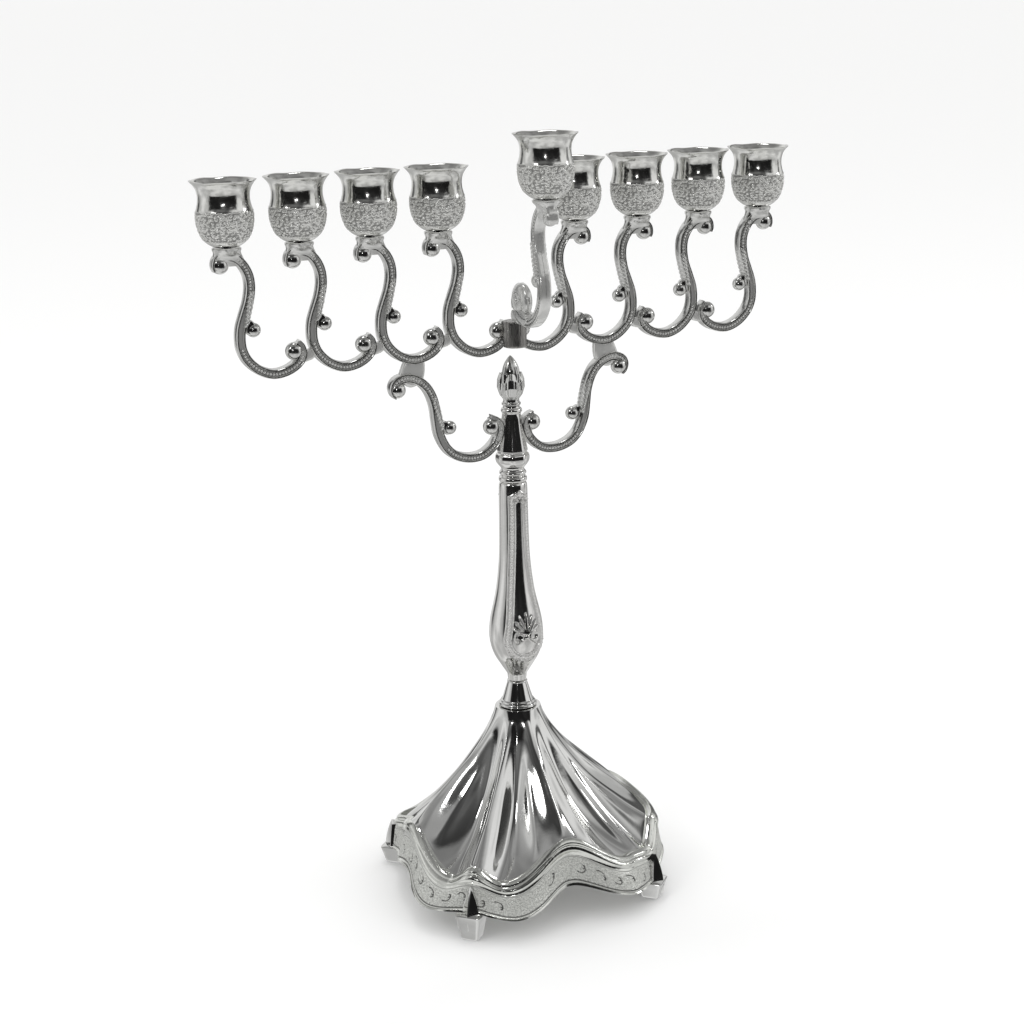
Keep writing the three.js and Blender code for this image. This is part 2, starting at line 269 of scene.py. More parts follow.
def petal(x, y, angle, length, width):
    """Height 0 to 1 of a domed petal that grows from the origin, angle counted from +y."""
    c, s = math.cos(angle), math.sin(angle)
    along, across = x * s + y * c, x * c - y * s
    t = np.clip(along / length, 0, 1)
    half = width * np.sqrt(np.clip(t * (1 - t), 0, 1)) * 2 * (0.6 + 0.4 * t)
    inside = (along > 0) & (along < length) & (np.abs(across) < half + 1e-9)
    return np.where(inside, np.sqrt(np.clip(1 - (across / (half + 1e-6)) ** 2, 0, 1)), 0)


def smooth(low, high, x):
    t = np.clip((x - low) / (high - low), 0, 1)
    return t * t * (3 - 2 * t)


# ---- materials ---------------------------------------------------------------------------


def plating(name, light, dark, rough, bump, scale, brushed=(1, 1, 1), recess=0.35, satin=0.4, metal=1.0):
    """Nickel-bright plating: tone and gloss drift between two values of each over it.

    In recesses the dark tone is multiplied by recess, which paints shade into them,
    the roughness is satin and the metalness is metal.
    """
    material = bpy.data.materials.new(name)
    material.use_nodes = True
    nodes, links = material.node_tree.nodes, material.node_tree.links
    shader = nodes["Principled BSDF"]
    coords = nodes.new("ShaderNodeTexCoord")
    stretch = nodes.new("ShaderNodeMapping")
    stretch.inputs["Scale"].default_value = brushed
    links.new(coords.outputs["Object"], stretch.inputs["Vector"])

    def noise(size, detail):
        node = nodes.new("ShaderNodeTexNoise")
        node.inputs["Scale"].default_value = size
        node.inputs["Detail"].default_value = detail
        links.new(stretch.outputs["Vector"], node.inputs["Vector"])
        return node.outputs["Fac"]

    def mapped(value, to_low, to_high, low=0.3, high=0.7):
        node = nodes.new("ShaderNodeMapRange")
        node.inputs["From Min"].default_value = low
        node.inputs["From Max"].default_value = high
        node.inputs["To Min"].default_value = to_low
        node.inputs["To Max"].default_value = to_high
        links.new(value, node.inputs["Value"])
        return node.outputs["Result"]

    def blended(factor, first, second):
        node = nodes.new("ShaderNodeMix")
        node.data_type = "RGBA"
        links.new(factor, node.inputs["Factor"])
        for socket, value in ((node.inputs["A"], first), (node.inputs["B"], second)):
            if isinstance(value, tuple):
                socket.default_value = (*value, 1)
            else:
                links.new(value, socket)
        return node.outputs["Result"]

    relief = nodes.new("ShaderNodeAttribute")
    relief.attribute_name = "relief"
    tone = blended(mapped(noise(scale, 4), 0, 1), dark, light)
    # painted shade: where relief falls towards 0 the colour goes to the dark tone times recess
    recess_shade_colour = tuple(c * recess for c in dark)
    colour = blended(mapped(relief.outputs["Fac"], 0, 1, 0, 1), recess_shade_colour, tone)
    links.new(colour, shader.inputs["Base Color"])

    if metal < 1:
        links.new(mapped(relief.outputs["Fac"], metal, 1, 0.75, 1), shader.inputs["Metallic"])
    else:
        shader.inputs["Metallic"].default_value = 1.0

    gloss = nodes.new("ShaderNodeMix")
    links.new(relief.outputs["Fac"], gloss.inputs["Factor"])
    gloss.inputs["A"].default_value = satin
    links.new(mapped(noise(scale * 2.3, 6), *rough), gloss.inputs["B"])
    links.new(gloss.outputs["Result"], shader.inputs["Roughness"])

    relief_bump = nodes.new("ShaderNodeBump")
    relief_bump.inputs["Strength"].default_value = bump
    relief_bump.inputs["Distance"].default_value = 0.0004
    links.new(noise(scale * 3.1, 8), relief_bump.inputs["Height"])
    links.new(relief_bump.outputs["Normal"], shader.inputs["Normal"])
    return material


polished = plating("polished_plating", (0.86, 0.86, 0.85), (0.78, 0.78, 0.765), (0.05, 0.12), 0.10, 60)
stem_plating = plating(
    "stem_plating", (0.87, 0.865, 0.85), (0.79, 0.785, 0.77), (0.08, 0.17), 0.10, 90, metal=0.4
)
arm_plating = plating(
    "arm_plating", (0.80, 0.80, 0.785), (0.68, 0.68, 0.665), (0.10, 0.22), 0.25, 150,
    recess=0.4, satin=0.5, metal=0.5,
)
cup_plating = plating(
    "cup_plating", (0.87, 0.87, 0.85), (0.76, 0.76, 0.73), (0.08, 0.2), 0.18, 160,
    recess=0.12, metal=0.5,
)
rim_plating = plating(
    "rim_plating", (0.90, 0.91, 0.87), (0.82, 0.83, 0.79), (0.08, 0.2), 0.3, 140,
    recess=0.1, satin=0.75, metal=0.35,
)
brushed_plating = plating(
    "brushed_plating", (0.5, 0.49, 0.47), (0.3, 0.29, 0.28), (0.2, 0.38), 0.6, 160, brushed=(6, 6, 0.3)
)
steel = plating("fastener_steel", (0.62, 0.62, 0.63), (0.5, 0.5, 0.52), (0.25, 0.4), 0.3, 220)

# ---- scroll arms -------------------------------------------------------------------------

# The scroll in the arm's own frame: u runs outward from the cup axis, w up from the seat.
BAND_PATH = [
    (4.3, -7.6), (4.75, -6.2), (4.2, -4.3), (2.7, -3.1), (0.6, -2.8), (-2.4, -3.7), (-5.0, -6.3),
    (-6.6, -9.8), (-6.95, -13.8), (-6.2, -18.2), (-4.7, -22.4), (-3.2, -26.8),
    (-2.75, -30.8), (-3.2, -34.6), (-5.0, -38.2), (-8.6, -41.5), (-13.2, -43.3),
    (-17.6, -42.9), (-21.4, -41.1), (-23.7, -38.4), (-23.9, -35.2), (-22.6, -33.2),
]
BAND_HALF_WIDTH, BAND_HALF_DEPTH = 1.6, 2.1
TOP_BALL = ((2.6, 0, -5.8), 2.9)
MIDDLE_BALL = ((-7.6, 0, -28.0), 2.45)
END_BALL = ((-21.3, 0, -36.4), 3.0)
BEAD_PITCH, BEAD_RADIUS = 1.1, 0.5
LEAF_START, LEAF_END = 25, 43  # the stretch of the band, wrapped by the leaf, that has no beads
SAMPLES = 300

# Half of the band's section, from its inner edge across the front face to its outer edge:
# across the band, share of the half depth, and 1 where the channel's floor lies.
SECTION = [
    (-1.0, 0.0, 0), (-1.0, 0.7, 0), (-0.95, 0.88, 0), (-0.83, 1.0, 0), (-0.66, 1.0, 0),
    (-0.54, 0.9, 0), (-0.48, 0.9, 1), (-0.25, 0.9, 1), (0.0, 0.9, 1), (0.25, 0.9, 1), (0.48, 0.9, 1),
    (0.54, 0.9, 0), (0.66, 1.0, 0), (0.83, 1.0, 0), (0.95, 0.88, 0), (1.0, 0.7, 0),
]


def band_frames():
    path = spline(BAND_PATH, SAMPLES)
    tangent = np.gradient(path, axis=0)
    tangent /= np.linalg.norm(tangent, axis=1)[:, None]
    normal = np.stack([tangent[:, 1], -tangent[:, 0]], -1)
    length = np.linalg.norm(np.diff(path, axis=0), axis=1).sum()
    return path, normal, np.linspace(0, length, SAMPLES), length


def band():
    """The arm's strap: edge ridges with a channel between, beaded at both ends of the S."""
    path, normal, along, length = band_frames()
    taper = 0.5 + 0.5 * smooth(0, 7, along) - 0.42 * smooth(length - 6, length, along)
    plain = smooth(24, 28, along) * (1 - smooth(40, 44, along))
    across = np.array([s[0] for s in SECTION])
    depth = np.array([s[1] for s in SECTION])
    floor = np.array([s[2] for s in SECTION])
    sink = floor[None, :] * (0.28 + 0.10 * plain[:, None]) + plain[:, None] * 0.05 * (1 - floor)
    front = -BAND_HALF_DEPTH * (depth[None, :] - sink)
    half = np.concatenate([front, -front[:, ::-1]], 1)
    span = np.concatenate([across, across[::-1]])[None, :] * BAND_HALF_WIDTH
    span = span * taper[:, None]
    y = half * (0.75 + 0.25 * taper[:, None])
    grid = np.stack([path[:, :1] + normal[:, :1] * span, y, path[:, 1:] + normal[:, 1:] * span], -1)
    # painted shade: the channel's floor gets low relief, so the materials darken its colour
    relief = 1 - 0.85 * np.concatenate([floor, floor[::-1]])[None, :] + 0 * span
    return capped(grid, relief)


def band_beads():
    path, _, along, length = band_frames()
    parts = []
    for s in np.arange(5.0, length - 5, BEAD_PITCH):
        if LEAF_START < s < LEAF_END:
            continue
        u, w = (np.interp(s, along, path[:, k]) for k in (0, 1))
        for y in (-1.55, 1.55):
            # painted shade: the beads in the channel are darkened a little through relief 0.85
            parts.append(ellipsoid((u, y, w), (BEAD_RADIUS,) * 3, detail=2, relief=0.85))
    return parts


def gadroons():
    """Slanting lobes of the leaf that wraps the S between the upper band and the middle ball."""
    parts = []
    for i, t in enumerate(np.linspace(0, 1, 8)):
        u = np.interp(t, [0, 0.5, 1], [-7.0, -6.2, -5.0])
        w = np.interp(t, [0, 1], [-15.8, -25.6])
        size = 0.75 + 0.25 * math.sin(math.pi * min(1, t + 0.15))
        # painted shade: the leaf's lobes are darkened a little through relief 0.9
        parts.append(ellipsoid((u, 0, w), (2.5 * size, 2.95, 0.76), turn=-0.85, detail=3, relief=0.9))
    stalk = [(-6.9, -24.6), (-5.4, -25.0), (-4.9, -28.8), (-6.6, -29.6), (-8.2, -28.4), (-8.0, -26.2)]
    return [*parts, slab(stalk, 1.5, 0.5)]


def boss(ball, flatten=1.0):
    """A scroll's end: a ball worn a little flat on both faces."""
    (u, _, w), radius = ball
    rho = np.sin(np.linspace(0.01, np.pi / 2, 16))
    half = np.stack([rho, 0.9 * (1 - rho**2.3) ** 0.5], -1) * radius
    rho = np.concatenate([half[:, 0], half[-2::-1, 0]])[:, None]
    y = np.concatenate([-half[:, 1], half[-2::-1, 1]])[:, None] * flatten
    theta = np.linspace(0, 2 * np.pi, 48, endpoint=False)[None, :]
    return [capped(np.stack([u + rho * np.cos(theta), y + 0 * theta, w + rho * np.sin(theta)], -1))]


def seat():
    """Round seat under the cup, which flares down into the band and the curl."""
    levels = [
        (0.0, 4.55, 4.55, 0.0, 2), (-0.25, 4.85, 4.85, 0.0, 2), (-0.9, 4.85, 4.75, 0.0, 2),
        (-1.5, 4.6, 4.0, 0.0, 2.1), (-2.3, 4.7, 3.0, -0.1, 2.3), (-3.2, 5.0, 2.4, -0.2, 2.6),
        (-4.3, 5.3, 2.05, -0.35, 2.9), (-5.3, 5.0, 1.9, -0.6, 3.0), (-6.2, 3.6, 1.7, -1.4, 3.0),
    ]
    theta = np.linspace(0, 2 * np.pi, 56, endpoint=False)
    rows = []
    for w, a, b, shift, power in levels:
        c, s = np.cos(theta), np.sin(theta)
        u = a * np.sign(c) * np.abs(c) ** (2 / power) + shift
        y = b * np.sign(s) * np.abs(s) ** (2 / power)
        rows.append(np.stack([u, y, np.full(len(theta), w)], -1))
    return capped(np.array(rows))


def lug():
    outline = [(-22.6, -36.2), (-25.6, -36.4), (-28.4, -35.6), (-28.9, -37.8), (-27.2, -39.8), (-22.8, -40.2)]
    # painted shade: the whole lug is darkened a little through lowered relief
    return dulled_and_shaded(slab(outline, 1.5, 1.0), 0.8)


def scroll(end=END_BALL, flatten=1.0):
    return [band(), *band_beads(), *gadroons(), *boss(TOP_BALL), *boss(MIDDLE_BALL), *boss(end, flatten)]


def upper_arm(with_lug):
    return [*scroll(), seat(), *([lug()] if with_lug else [])]


LOWER_TURN = -0.4625


def lower_arm():
    """The same scroll turned about its middle ball, in the arm's own frame at that ball."""
    (u, _, w), _ = MIDDLE_BALL
    parts = [moved(moved(p, (-u, 0, -w)), turn=LOWER_TURN) for p in scroll()]
    saddle_outline = [(9.6, 18.6), (14.2, 15.8), (18.2, 18.8), (17.6, 22.4), (15.2, 26.0), (9.4, 25.6)]
    saddle = slab(saddle_outline, 1.5, 1.0)
    foot = slab([(-20.6, -5.6), (-17.0, -6.4), (-16.6, -2.0), (-17.6, 0.8), (-20.9, 0.4)], 1.6, 0.5)
    # painted shade: the saddle and foot are darkened a little through lowered relief
    return [*parts, dulled_and_shaded(saddle, 0.8), dulled_and_shaded(foot, 0.8)]


VOLUTE_CENTRE = (-20.8, 0, -36.4)


def servant_volute():
    """The servant arm's large end scroll: a thick disc with a spiral crease on each face."""
    radius, half = 6.0, 2.5
    rho = np.linspace(0.02, 1, 44)[:, None]
    theta = np.linspace(0, 2 * np.pi, 160, endpoint=False)[None, :]
    turns = (theta / (2 * np.pi) + 0.1) % 1
    spiral = 0.30 + 0.42 * turns
    crease = np.exp(-(((rho - spiral) / 0.055) ** 2)) * smooth(0.05, 0.2, turns)
    dome = half * np.sqrt(1 - 0.92 * rho**2.6)
    faces = []
    for side in (-1, 1):
        u = VOLUTE_CENTRE[0] + radius * rho * np.cos(theta)
        w = VOLUTE_CENTRE[2] + radius * rho * np.sin(theta)
        y = side * (dome - 0.55 * crease)
        # painted shade: the spiral crease is darkened through low relief
        faces.append((np.stack([u, y, w], -1), 1 - 0.6 * crease))
    grid = np.concatenate([faces[0][0], faces[1][0][::-1]])
    relief = np.concatenate([faces[0][1], faces[1][1][::-1]])
    return capped(grid, relief)


def servant_arm():
    foot = slab([(-25.2, -43.9), (-25.6, -40.4), (-20.0, -39.6), (-13.4, -41.2), (-15.8, -44.4)], 2.1, 0.6)
    eye = ellipsoid(VOLUTE_CENTRE, (1.7, 3.1, 1.7), detail=3)
    parts = [*scroll((VOLUTE_CENTRE, 2.2)), seat(), servant_volute(), eye, foot]
    # painted shade: the whole servant arm is darkened a little through lowered relief
    return [dulled_and_shaded(moved(p, quarter=True), 0.86) for p in parts]


# ---- cups --------------------------------------------------------------------------------

CUP_COLUMNS = 320
CUP_WAIST = 9.2  # radius at which the grains and lines are laid out
# Profiles of the cup as (radius, height over its foot): granulated bowl, plain neck and lip,
# and down again inside to the floor.
CUP_BOWL = [
    (4.3, 0.32), (5.3, 0.8), (6.6, 1.8), (7.8, 3.3), (8.7, 5.3), (9.25, 7.5), (9.45, 9.8), (9.3, 12.2),
]
CUP_NECK = [
    (9.3, 12.2), (8.95, 13.4), (8.65, 14.8), (8.55, 16.4), (8.7, 17.9), (9.25, 19.5), (10.2, 20.9),
    (11.0, 21.7),
]
CUP_INSIDE = [
    (11.05, 21.95), (10.75, 21.98), (10.1, 21.5), (9.0, 20.1), (8.1, 18.0), (7.8, 16.4), (8.2, 13.6),
    (8.55, 10.0), (8.1, 7.0), (6.8, 4.6), (5.0, 3.0), (3.4, 2.6), (1.7, 2.6),
]


def cup():
    theta = np.linspace(0, 2 * np.pi, CUP_COLUMNS, endpoint=False)[None, :]
    bowl, neck = spline(CUP_BOWL, 78), spline(CUP_NECK, 40)
    inside = spline(CUP_INSIDE, 44)
    r, z = bowl.T[:, :, None]
    around = 2 * np.pi * CUP_WAIST
    along = np.linspace(0, 16.5, len(bowl))[:, None]
    x = theta * CUP_WAIST + 0 * along
    quarter = (x + around / 8) % (around / 4) - around / 8
    level = z - 7.4
    cross = np.exp(-(((np.abs(quarter) - np.abs(level) * 0.9) / 0.36) ** 2)) * (np.abs(level) < 4.2)
    hoops = ring_line(np.abs(quarter) - 4.4, level, 1.15, 0.26) + ring_line(quarter, level, 1.3, 0.28)
    band_mask = smooth(1.6, 2.6, z) * (1 - smooth(11.6, 12.1, z))
    drawn = np.clip(cross + hoops, 0, 1)
    height = grains(x, along + 0 * x, 1.2, around, 11) * (1 - 0.8 * drawn) + 0.75 * drawn
    edge = np.exp(-(((z - 12.0) / 0.22) ** 2)) + 0 * theta
    push = band_mask * (0.5 * height - 0.26) + 0.12 * edge
    outer = polar(r + push, z + 0 * theta, theta)
    # painted shade: the granulated band is darkened, most in the gaps between the grains, through low relief
    relief = 1 - band_mask * (0.12 + 0.62 * (1 - height) ** 2.6)

    def plain(profile, wave):
        pr, pz = profile.T[:, :, None]
        near_lip = smooth(19.5, 22, pz)
        wobble = wave * near_lip * (np.sin(5 * theta + 0.7) + 0.6 * np.sin(8 * theta + 2))
        return polar(pr + 0.07 * wobble, pz - 0.09 * (1 + wobble) * near_lip, theta)

    grid = np.concatenate([outer, plain(neck[1:], 1), plain(inside, 1)])
    shine = np.concatenate([relief, np.ones((len(neck) - 1 + len(inside), CUP_COLUMNS))])
    bottom = polar(np.full((1, CUP_COLUMNS), 1.7), np.full((1, CUP_COLUMNS), 0.32), theta)
    grid = np.concatenate([grid, bottom])
    shine = np.concatenate([shine, np.ones((1, CUP_COLUMNS))])
    return [surface(grid, tube=True, relief=shine)]


def cup_screw():
    """Domed slotted head that shows in the cup's floor, on its shank."""
    shank = [(0.05, -3.9), (1.4, -3.9), (1.4, 2.9), (1.4, 3.0)]
    head = [(2.6, 2.9), (2.7, 3.2), (2.6, 3.7), (2.1, 4.15), (1.2, 4.38), (0.05, 4.4)]
    grid = turned(spline(head, 26), 72)
    x, y, z = np.moveaxis(grid, -1, 0)
    slot = (np.abs(x) < 0.34) & (z > 3.3)
    grid[..., 2] = np.where(slot, np.minimum(z, 3.45), z)
    return [capped(turned(shank, 32)), capped(grid)]


# ---- column ------------------------------------------------------------------------------

STEM_BOTTOM, STEM_TOP = 79.4, 154.2
STEM_PROFILE = [
    (3.3, 79.4), (3.45, 80.6), (3.7, 81.9), (5.0, 84.0), (6.6, 86.6), (7.9, 88.8), (9.0, 91.6),
    (9.65, 94.6), (9.85, 97.6), (9.6, 101.4), (8.9, 105.4), (7.9, 109.6), (7.1, 113.4),
    (6.5, 117.4), (6.0, 121.8), (5.6, 127), (5.4, 133), (5.3, 139), (5.2, 148), (5.15, 151.6),
    (5.0, 153.4), (4.6, 154.2),
]
PANEL = {"z": 97.4, "radius": 8.8, "top": 148.6, "top_half": 4.1}


def panel_distance(x, z):
    """How far a point lies inside the teardrop panel's edge, and how far along the edge."""
    zc, radius = PANEL["z"], PANEL["radius"]
    rise = np.clip((PANEL["top"] - z) / (PANEL["top"] - zc), 0, 1)
    half = PANEL["top_half"] + (radius - PANEL["top_half"]) * rise**2.4
    side = np.minimum(half - np.abs(x), PANEL["top"] + 3.2 - z - 0.5 * np.abs(x))
    below = radius - np.hypot(x, z - zc)
    inside = np.where(z > zc, side, below)
    angle = np.arctan2(np.abs(x), np.maximum(zc - z, 0))
    along = np.where(z > zc, radius * np.pi / 2 + z - zc, radius * angle)
    return inside, along


def palmette(x, y):
    """Fan of petals over two curls, about the origin."""
    h = np.zeros_like(x)
    for k in range(-3, 4):
        h = np.maximum(h, petal(x, y + 1.6, k * 0.36, 6.6 - 0.5 * abs(k), 0.62))
    for sign in (-1, 1):
        h = np.maximum(h, ring_line(x - sign * 2.3, y + 2.2, 1.35, 0.34))
        h = np.maximum(h, petal(x - sign * 0.6, y + 2.6, sign * 2.2, 3.6, 0.5))
    return np.maximum(h, np.sqrt(np.clip(1 - (x**2 + (y + 2.4) ** 2) / 0.9**2, 0, 1)))


def crest(x, y):
    """Small leaf crest over the panel's tip."""
    h = np.zeros_like(x)
    for k in (-1, 0, 1):
        h = np.maximum(h, petal(x, y + 2.4, k * 0.75, 4.2 - 0.8 * abs(k), 0.7))
    for sign in (-1, 1):
        h = np.maximum(h, ring_line(x - sign * 1.9, y + 1.6, 0.95, 0.3))
    return h


def stem():
    theta = np.linspace(0, 2 * np.pi, 288, endpoint=False)[None, :]
    profile = spline(STEM_PROFILE, 400)
    r, z = profile.T[:, :, None]
    facing = (theta + np.pi) % np.pi - np.pi / 2  # 0 at the front and at the back
    x = facing * r
    z = z + 0 * theta
    inside, along = panel_distance(x, z)
    rails = np.exp(-(((inside - 0.3) / 0.26) ** 2)) + 0.8 * np.exp(-(((inside - 2.35) / 0.26) ** 2))
    beads = bead_row(along, inside - 1.35, 1.25, 0.68)
    grain = grains(x + 40, z, 0.8, 80, 5) * smooth(PANEL["z"] + 2, PANEL["z"] - 4, z)
    border = np.where((inside > 0) & (inside < 2.6), np.maximum(beads, 0.8 * grain), 0)
    sunk = smooth(2.2, 2.8, inside)
    ornament = np.maximum(palmette(x / 1.2, (z - 101.0) / 1.2) * (inside > 2.4), crest(x, z - 150.0))
    height = 0.34 * rails + 0.5 * border - 0.34 * sunk + 0.8 * ornament
    height = height * smooth(0, 1.2, z - STEM_BOTTOM - 3) * (z < 152.6)
    # painted shade: between the rails, round the beads and grains, and along the panel's sunk edge the colour
    # is darkened through low relief
    relief = np.where((inside > 0.4) & (inside < 2.4), 0.35 + 0.5 * border, 1.0)
    relief = relief - 0.35 * smooth(2.3, 2.6, inside) * smooth(2.9, 2.6, inside)
    return [capped(polar(r + height, z, theta), relief)]


COLLAR = [
    (6.4, 69.6), (6.9, 69.75), (7.0, 70.2), (6.75, 70.7), (6.35, 70.9), (6.3, 71.1), (6.2, 71.5),
    (5.75, 71.8), (5.6, 72.1), (5.0, 73.9), (4.35, 76.1), (3.75, 78.0), (3.6, 78.5), (3.75, 78.8),
    (3.5, 79.1),
]
ARM_HUB = [
    (4.7, 154.5), (5.05, 154.8), (5.1, 155.6), (4.9, 156.1), (4.3, 156.5), (4.3, 156.9), (4.8, 157.3),
    (4.9, 157.8), (4.6, 158.3), (4.15, 158.9), (4.3, 159.6), (5.1, 160.6), (5.8, 161.8), (6.05, 163.2),
    (5.8, 164.4), (5.2, 165.0), (5.25, 165.5), (5.45, 165.9), (5.2, 167.2), (4.6, 170.0), (4.05, 173.0),
    (3.6, 176.2), (3.45, 178.4), (3.4, 179.4), (3.75, 179.9), (3.8, 180.5), (3.5, 181.1), (3.1, 181.4),
    (3.0, 181.9),
]
SPOOL = [
    (3.1, 182.2), (3.4, 182.4), (3.4, 183.0), (3.0, 183.4), (2.9, 184.4), (3.1, 185.3), (3.6, 185.9),
    (3.4, 186.4), (3.2, 187.2), (3.0, 190.0), (2.2, 191.5),
]


def arm_hub():
    """Vase that carries the two lower arms."""
    profile = spline(ARM_HUB, 170)
    theta = np.linspace(0, 2 * np.pi, 144, endpoint=False)[None, :]
    r, z = profile.T[:, :, None]
    belly = smooth(159.4, 162.5, z) * (1 - smooth(176.5, 179.2, z))
    lobes = -0.13 * belly * np.cos(8 * theta)
    return [capped(polar(r + lobes, z + 0 * theta, theta))]


def leafy(bottom, top, radius, petals, phase, wall, flare):
    """A cup of pointed petals with a rib down each."""
    theta = np.linspace(0, 2 * np.pi, 216, endpoint=False)[None, :]
    t = np.linspace(0, 1, 60)[:, None]
    tip = np.abs(np.cos(petals / 2 * (theta + phase)))
    reach = top - (top - bottom) * 0.42 * (1 - tip**0.7)
    z = bottom + (reach - bottom) * t
    swell = np.interp(t, [0, 0.15, 0.45, 0.75, 1], [0.62, 0.8, 1.0, 0.97, 0.80 + flare])
    rib = 0.16 * np.cos(petals * (theta + phase)) + 0.13 * np.exp(-(((1 - tip) / 0.02) ** 2))
    vein = 0.10 * np.sin(petals * 5 * (theta + phase)) * (1 - tip**8)
    r = radius * swell * (0.93 + 0.07 * tip) + (rib + vein) * smooth(0, 0.2, t)
    outer = polar(r, z, theta)
    inner = polar(r - wall * (1 - 0.6 * t), z, theta)[::-1]
    # painted shade: the creases between the petals are darkened through low relief
    crease = 1 - 0.5 * np.exp(-((tip / 0.18) ** 2)) + 0 * t
    return surface(np.concatenate([outer, inner]), tube=True, relief=np.concatenate([crease, crease[::-1]]))


def bud(bottom, tip_z, radius):
    """Closed pointed bud whose petals wrap round it."""
    theta = np.linspace(0, 2 * np.pi, 144, endpoint=False)[None, :]
    t = np.linspace(0, 1, 80)[:, None]
    z = bottom + (tip_z - bottom) * t + 0 * theta
    swell = np.sin(np.pi * np.clip(0.18 + 0.82 * t, 0, 1) ** 1.25) ** 0.8
    wrap = 3 * theta + 2.6 * t
    fold = 0.26 * np.abs(np.cos(wrap / 2)) ** 0.6 - 0.13
    r = radius * (swell * (1 + 0.35 * fold) + 0.012)
    # painted shade: the creases between the wrapped petals are darkened through low relief
    return capped(polar(r, z, theta), 1 - 0.5 * np.exp(-((np.cos(wrap / 2) / 0.15) ** 2)))


def finial():
    return [
        capped(turned(spline(SPOOL, 60), 96)),
        leafy(184.4, 194.0, 4.7, 4, 0.35, 1.1, -0.02),
        leafy(186.0, 196.2, 3.75, 4, 0.35 + math.pi / 4, 0.9, -0.1),
        bud(187.0, 200.0, 3.1),
    ]


def centre_hub(radius, bottom, top):
    edge = 0.35
    return [
        capped(
            turned(
                [(radius - edge, bottom), (radius - 0.1, bottom + 0.1), (radius, bottom + edge)]
                + [(radius, z) for z in np.linspace(bottom + 1, top - 1, 6)]
                + [(radius, top - edge), (radius - 0.1, top - 0.1), (radius - edge, top), (radius - 1, top)],
                96,
            )
        )
    ]


# ---- base --------------------------------------------------------------------------------

# The base's profiles from the neck to the lip as [radius, height]; ring i joins the i-th
# point of them all. The right side's lobes are raised, the one at the back of the left side
# is tucked in, and the corners at the front right and back left hang low.
PROFILES = {
    "middle": [
        (8.3, 69.3), (9.7, 65.4), (13, 59.6), (18.4, 52.4), (24.6, 45.6), (31.4, 38.4),
        (38.4, 30.6), (39.6, 31.4), (41, 29.2), (40.3, 25.2), (41, 20), (42, 14),
    ],
    "lobe": [
        (8.3, 69.3), (9.4, 64.8), (12.2, 57.2), (17.2, 47.4), (23.8, 37.2), (32.8, 27.2),
        (44.2, 18.6), (45.8, 19.6), (48.2, 18.6), (49.2, 15.6), (51.8, 12), (54.6, 8.6),
    ],
    "raised": [
        (8.3, 69.3), (9.6, 65.2), (12.8, 58.8), (18.6, 51), (26.4, 42.6), (36, 35),
        (47.4, 27.2), (49, 28), (51, 26), (51.4, 22), (52.2, 16.6), (53.4, 11),
    ],
    "tucked": [
        (8.3, 69.3), (9.4, 64.8), (12.2, 57.2), (16.8, 47.6), (22.4, 38.6), (30, 29.6),
        (39.6, 21.4), (41, 22.4), (43, 20.8), (43.8, 17.6), (45, 13), (46.6, 8.6),
    ],
    "corner": [
        (8.3, 69.3), (9.7, 65.4), (13.2, 59.4), (19.2, 51.4), (27, 43.2), (36.6, 34),
        (47.4, 25), (49, 25.6), (51, 23.8), (51.2, 20), (51.6, 14.4), (52, 9.4),
    ],
    "low": [
        (8.3, 69.3), (9.7, 65.2), (13, 58.4), (18.6, 49.6), (25.8, 39.8), (35.4, 29.2),
        (47.2, 18.6), (48.8, 19.4), (50.6, 17.8), (51, 14.6), (51.4, 10.4), (51.8, 6.4),
    ],
}
RING_COUNT = 12
# Where each ring's lobe lies between a side's middle (0) and the corner (1).
LOBE_PHASE = [0.6, 0.6, 0.61, 0.63, 0.66, 0.7, 0.74, 0.74, 0.72, 0.68, 0.64, 0.61]
SIDE_EXTRA = 4.6  # how much further out the left and right middles lie at the rim
SKIN = 1.6  # wall thickness
DRAPE_COLUMNS, RIM_COLUMNS = 960, 1440


def eased(t):
    return (1 - np.cos(np.pi * np.clip(t, 0, 1))) / 2


def base_rows(theta, levels, crisp):
    """R and z of the outer skin at fractional ring numbers; crisp sharpens the corner ridges."""
    quarter, diagonal = np.pi / 2, math.sqrt(0.5)
    phase = np.abs(theta - np.round(theta / quarter) * quarter) / (quarter / 2)
    x, y = np.cos(theta), np.sin(theta)
    which_lobe = np.where(x > diagonal, 1, np.where((x < -diagonal) & (y > 0), 2, 0))
    which_corner = (x * y < 0).astype(int)

    def ring_values(k, sharp):
        middle = np.array(PROFILES["middle"][k])[:, None]
        lobe = np.array([PROFILES[n][k] for n in ("lobe", "raised", "tucked")])[which_lobe].T
        corner = np.array([PROFILES[n][k] for n in ("corner", "low")])[which_corner].T
        peak = LOBE_PHASE[k]
        first = eased(phase / peak)
        last = np.clip((phase - peak) / (1 - peak), 0, 1)
        ridge = eased(last) * (1 - sharp) + last**2.1 * sharp
        value = np.where(phase < peak, middle + (lobe - middle) * first, lobe + (corner - lobe) * ridge)
        value[0] += SIDE_EXTRA * (middle[0] / 42) ** 2 * (np.abs(x) > diagonal) * (1 - first)
        return value

    rows = []
    for level, sharp in zip(levels, crisp):
        k = min(int(level), RING_COUNT - 2)
        t = level - k
        p = [ring_values(min(max(k + d, 0), RING_COUNT - 1), sharp) for d in (-1, 0, 1, 2)]
        if k == 0:
            p[0] = 2 * p[1] - p[2]
        if k == RING_COUNT - 2:
            p[3] = 2 * p[2] - p[1]
        rows.append(catmull_rom(*p, t))
    both = np.array(rows)
    return both[:, 0], both[:, 1], phase[None, :]


